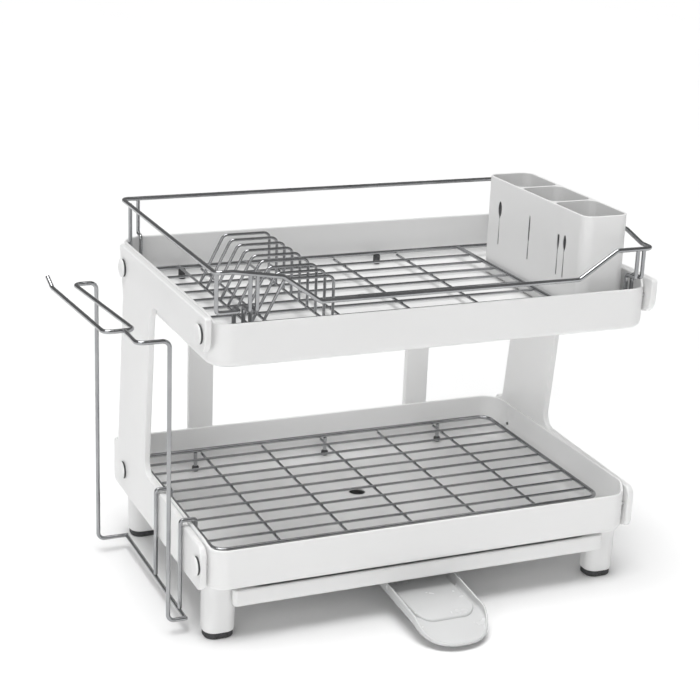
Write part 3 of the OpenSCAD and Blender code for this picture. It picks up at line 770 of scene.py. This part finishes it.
def plate_dividers():
    low, high = node_box("plate_dividers")
    left, right = low.x + THIN_R, high.x - THIN_R
    foot_z = node_box("upper_rack_wires")[1].z + THIN_R
    top, count = high.z - THIN_R, DIVIDER_COUNT
    first, last = low.y + THIN_R, high.y - THIN_R
    parts = []
    for i in range(count):
        y = first + (last - first) * i / (count - 1)
        path = [(left, y, foot_z), (left + DIVIDER_RUN, y, top), (right, y, top), (right, y, foot_z)]
        parts.append(tube(path, THIN_R, DIVIDER_BEND, sides=12))
    return join(*parts)


def lower_stringers():
    low, high = node_box("lower_rack_stringers")
    x0, x1, z = low.x + THIN_R, high.x - THIN_R, low.z + THIN_R
    _, _, ys, wire_z = rows("lower_rack_wires", LOWER_ROWS)
    parts = []
    for i in range(5):
        x = x0 + (x1 - x0) * i / 4
        parts.append(tube([(x, low.y, z), (x, high.y, z)], THIN_R, sides=12))
        parts += [weld(x, y, wire_z - THIN_R) for y in ys]
    return join(*parts)


def sleeves(node, xs, ys):
    """Rubber sleeves under a rack."""
    low, high = node_box(node)
    r, h = SLEEVE_R, high.z - low.z
    sleeve = [(r - 1, 0), (r - 0.3, 0.25), (r, 1), (r, h - 0.8), (r - 0.5, h - 0.1), (r - 1, h)]
    return join(*(moved(lathe([(0.3, 0)] + sleeve + [(0.3, h)], 20), Matrix.Translation((x, y, low.z)))
                  for x in xs for y in ys))


def build_racks():
    piece("top_rail", upper_rail(), "upper_rail")
    piece("rail_uprights", upper_rail_posts(), "upper_rail_posts")
    piece("upper_rack_rim", frame_wire("upper_rack_frame", RAIL_BEND), "upper_rack_frame")
    piece("upper_floor_wires", floor_wires("upper_rack_wires", UPPER_ROWS), "upper_rack_wires")
    piece("upper_cross_wires", upper_stringers(), "upper_rack_stringers")
    piece("plate_racks", plate_dividers(), "plate_dividers")
    low, high = node_box("upper_rack_feet")
    sleeve_xs = (low.x + SLEEVE_R, high.x - SLEEVE_R)
    sleeve_ys = (low.y + SLEEVE_R, high.y - SLEEVE_R)
    piece("upper_rack_sleeves", sleeves("upper_rack_feet", sleeve_xs, sleeve_ys), "upper_rack_feet")
    piece("lower_rack_rim", frame_wire("lower_rack_frame", LOWER_RACK_BEND), "lower_rack_frame")
    piece("lower_floor_wires", floor_wires("lower_rack_wires", LOWER_ROWS), "lower_rack_wires")
    piece("lower_cross_wires", lower_stringers(), "lower_rack_stringers")
    low, high = node_box("lower_rack_legs")
    leg_xs = (low.x + POST_R, MIDDLE_LEG_X, high.x - POST_R)
    leg_ys = (low.y + POST_R, high.y - POST_R)
    legs = [tube([(x, y, low.z), (x, y, high.z)], POST_R) for x in leg_xs for y in leg_ys]
    piece("lower_rack_stubs", join(*legs), "lower_rack_legs")
    piece("lower_rack_sleeves", sleeves("lower_rack_feet", leg_xs, leg_ys), "lower_rack_feet")


# ---------- Utensil holder ----------

def silhouette(centre, low, h, widths):
    """Outline in y and z of a piece of cutlery: widths are (share of height, half width) pairs."""
    right = [(centre + w, low + h * t) for t, w in widths]
    left = [(centre - w, low + h * t) for t, w in reversed(widths)]
    return [Vector(p) for p in right + left]


def spoon_widths(bowl):
    """Widths of a spoon whose bowl has the half width bowl."""
    handle = [(0.0, 0.5), (0.012, 1.0), (0.03, 1.25), (0.2, 1.15), (0.45, 0.8), (0.6, 0.7)]
    turns = [math.pi * k / 14 for k in range(2, 14)]
    round_bowl = [(0.82 - 0.18 * math.cos(a), max(0.6, bowl * math.sin(a))) for a in turns]
    return handle + round_bowl + [(1, 0.4)]


KNIFE = [(0.0, 0.5), (0.012, 1.0), (0.03, 1.3), (0.25, 1.2), (0.42, 0.9), (0.45, 1.5), (0.7, 1.8),
         (0.9, 1.6), (0.96, 1.1), (0.99, 0.6), (1.0, 0.2)]
FORK = [(0.0, 0.5), (0.012, 1.0), (0.03, 1.25), (0.25, 1.1), (0.5, 0.8), (0.62, 0.9), (0.72, 1.9),
        (0.8, 2.3), (0.95, 2.3), (0.985, 2.1), (1.0, 1.8)]


# Cutlery outlines in the holder's left wall: (distance from its front, height, widths)
CUTLERY = [(38, 46, spoon_widths(3.2)), (51, 44, FORK), (113, 50, KNIFE), (180, 50, spoon_widths(4.2))]
SLOT_RISE = 38


def cutlery_shapes(x0, x1):
    """The cutlery outlines as solids from x0 to x1."""
    low = node_box("utensil_holder")[0]
    outlines = [silhouette(low.y + y, low.z + SLOT_RISE, h, widths) for y, h, widths in CUTLERY]
    return [loft([[(x, p.x, p.y) for p in outline] for x in (x0, x1)], True, True)
            for outline in outlines]


def utensil_holder():
    """Tall box with three bays, drain holes, and cutlery outlines cut through its left wall."""
    low, high = node_box("utensil_holder")
    wall, corner, bays = HOLDER_WALL, HOLDER_CORNER, HOLDER_BAYS
    body = block((low.x, low.y, high.x, high.y), low.z, high.z, corner, 2.0, 0.8)
    pitch = (high.y - low.y - wall) / bays
    for i in range(bays):
        y0 = low.y + wall + i * pitch
        inside = (low.x + wall, y0, high.x - wall, y0 + pitch - wall)
        rings = [(3 * (1 - s), low.z + wall + 3 * c) for s, c in quarter()]
        rings += [(-0.8 * c, high.z - 0.8 * (1 - s)) for s, c in quarter(4)] + [(-0.8, high.z + 3)]
        bay = loft([box_ring(inside, draw, corner - wall, z) for draw, z in rings], True, True)
        body = combined(body, bay, "DIFFERENCE")
        for j in (-1, 0, 1):
            y = y0 + (pitch - wall) / 2 + BAY_DRAIN_PITCH * j
            hole = lathe([(BAY_DRAIN_R, low.z - 2), (BAY_DRAIN_R, low.z + wall + 2)], 24)
            hole = moved(hole, Matrix.Translation(((low.x + high.x) / 2, y, 0)))
            body = combined(body, hole, "DIFFERENCE")
    for cut in cutlery_shapes(low.x - 3, low.x + wall + 2):
        body = combined(body, cut, "DIFFERENCE")
    return body


def build_utensil_holder():
    piece("cutlery_holder", utensil_holder(), "utensil_holder")
    left = node_box("utensil_holder")[0].x
    # Painted shade: dark rubber pieces set inside the cutlery cut-outs stand for the shaded inside of the
    # holder seen through the holes.
    painted_shade_inlays = join(*cutlery_shapes(left + 0.7, left + HOLDER_WALL - 0.1))
    extra("cutlery_painted_shade", painted_shade_inlays, "utensil_holder", "rubber")


# ---------- Board holder ----------

def build_board_holder():
    """Wires askew as in the CAD: the rear outer wire and the towel rail stand further out."""
    r, front = BOARD_R, node_box("board_holder_front")
    hooks, base = node_box("board_holder_hooks"), node_box("board_holder_base")
    inner, low, stub = base[0].x + r, base[0].z + r, base[1].x
    y0, y1, top = front[0].y + r, base[1].y + r, front[1].z - r
    front_x, back_x, flare_x = inner - 18, inner - 32, inner - 56
    link, rail_x, rail_front = front[0].x + r, inner - 70, y0 + 42
    front_wire = tube([(stub, y0, low), (front_x, y0, low), (front_x, y0, top), (link, y0, top),
                       (link, rail_front - r, top)], r, BOARD_BEND)
    rear_wire = tube([(stub, y1, low), (back_x, y1, low), (back_x, y1, top), (flare_x, y1, top),
                      (rail_x + 30, rail_front, top), (rail_x, rail_front, top),
                      (rail_x - 12, y1 - 14, top + 2), (rail_x - 14, y1, top + 11)], r, BOARD_BEND)
    hook_x, hook_z, hook_drop, hook_bend = hooks[1].x - r, hooks[1].z - r, 14, 3
    ys = (hooks[0].y + r, hooks[1].y - r)
    hook_wires = [tube([(inner, y, low + r), (inner, y, hook_z), (hook_x, y, hook_z),
                        (hook_x, y, hook_z - hook_drop)], r, hook_bend) for y in ys]
    piece("board_wire_front", front_wire, "board_holder_front")
    piece("board_wire_rear", rear_wire, "board_holder_rear")
    piece("board_hook_wires", join(*hook_wires), "board_holder_hooks")
    piece("board_wire_base", tube([(inner, y0 + r, low), (inner, y1 - r, low)], r), "board_holder_base")
    tip_low = node_box("board_holder_tips")[0].z
    cap = [(0.3, 0.0), (r - 0.9, 0.0), (r - 0.3, 0.3), (r, 1.0), (r, 3.0), (0.3, 3.0)]
    tips = [moved(lathe(cap, 20), Matrix.Translation((hook_x, y, tip_low))) for y in ys]
    piece("hook_tips", join(*tips), "board_holder_tips")


# ---------- Stage ----------

def finish_cad_nodes():
    """The CAD nodes that stay in view get their material and a fine rounded edge."""
    for node in ("drip_rail_left", "drip_rail_right", "side_screws_left", "side_screws_right"):
        obj = frame["nodes"][node]
        obj.data.materials.clear()
        obj.data.materials.append(MATERIALS[SLOT_OF[node]])
        bevel = obj.modifiers.new("edge", "BEVEL")
        bevel.width = 0.3 * MM
        bevel.segments = 2


def build_stage():
    size = 20
    mesh = bpy.data.meshes.new("floor")
    corners = [(-size, -size, 0), (size, -size, 0), (size, size, 0), (-size, size, 0)]
    mesh.from_pydata(corners, [], [(0, 1, 2, 3)])
    mesh.materials.append(studio_floor())
    floor = bpy.data.objects.new("studio_floor", mesh)
    bpy.context.scene.collection.objects.link(floor)


# Strength of the room, and each lamp's name, strength, angular width and direction
ROOM = 0.24
LAMPS = [("top_softbox", 2.55, 40, (0.12, 0.06, -0.99)), ("front_fill", 0.78, 50, (0.62, 0.73, -0.28))]

# Fill under the upper tray: its place in millimetres, its width in metres and its power
TIER_FILL = (20, 150, 275)
TIER_FILL_SIZE = 0.3
TIER_FILL_POWER = 0.2


def build_light():
    """Soft light from above, low fills in front and under the upper tray, and a dim white room."""
    world = bpy.data.worlds.new("studio")
    bpy.context.scene.world = world
    world.use_nodes = True
    nodes, links = world.node_tree.nodes, world.node_tree.links
    background = nodes["Background"]
    background.inputs["Color"].default_value = (1, 1, 1, 1)
    rays = nodes.new("ShaderNodeLightPath")
    strength = nodes.new("ShaderNodeMapRange")
    strength.inputs["To Min"].default_value = ROOM
    strength.inputs["To Max"].default_value = 1.0
    links.new(rays.outputs["Is Camera Ray"], strength.inputs["Value"])
    links.new(strength.outputs["Result"], background.inputs["Strength"])
    for name, energy, spread, direction in LAMPS:
        data = bpy.data.lights.new(name, "SUN")
        data.energy = energy
        data.angle = math.radians(spread)
        lamp = bpy.data.objects.new(name, data)
        bpy.context.scene.collection.objects.link(lamp)
        lamp.rotation_euler = Vector(direction).to_track_quat("-Z", "Y").to_euler()
    data = bpy.data.lights.new("tier_fill", "AREA")
    data.shape = "DISK"
    data.size = TIER_FILL_SIZE
    data.energy = TIER_FILL_POWER
    lamp = bpy.data.objects.new("tier_fill", data)
    bpy.context.scene.collection.objects.link(lamp)
    lamp.visible_camera = False
    lamp.visible_glossy = False
    lamp.location = to_row(TIER_FILL)


# Camera: its place in millimetres, its turns in degrees, and its lens and sensor in millimetres
CAMERA_PLACE = (-718.5, -1377.23, 791.05)
CAMERA_YAW, CAMERA_PITCH, CAMERA_ROLL = -24.18, 18.11, 2.4
CAMERA_LENS, CAMERA_SENSOR = 84.9, 36


def build_camera():
    """Camera at the reference view: from the front left, a little above the upper tray."""
    yaw, pitch, roll = (math.radians(a) for a in (CAMERA_YAW, CAMERA_PITCH, CAMERA_ROLL))
    forward = Vector((-math.sin(yaw) * math.cos(pitch), math.cos(yaw) * math.cos(pitch), -math.sin(pitch)))
    level = forward.cross(Vector((0, 0, 1))).normalized()
    up = level.cross(forward)
    right = math.cos(roll) * level + math.sin(roll) * up
    up = right.cross(forward)
    data = bpy.data.cameras.new("camera")
    data.sensor_width = CAMERA_SENSOR
    data.lens = CAMERA_LENS
    camera = bpy.data.objects.new("camera", data)
    bpy.context.scene.collection.objects.link(camera)
    place = to_row(CAMERA_PLACE)
    camera.matrix_world = Matrix((
        (right.x, up.x, -forward.x, place.x), (right.y, up.y, -forward.y, place.y),
        (right.z, up.z, -forward.z, place.z), (0, 0, 0, 1)))
    bpy.context.scene.camera = camera
    bpy.context.scene.view_settings.view_transform = "Standard"


build_camera()
build_light()
build_stage()
build_frame()
piece("drip_pan", drip_tray(), "drip_tray")
piece("pouring_spout", spout(), "drain_spout")
build_racks()
build_utensil_holder()
build_board_holder()
finish_cad_nodes()
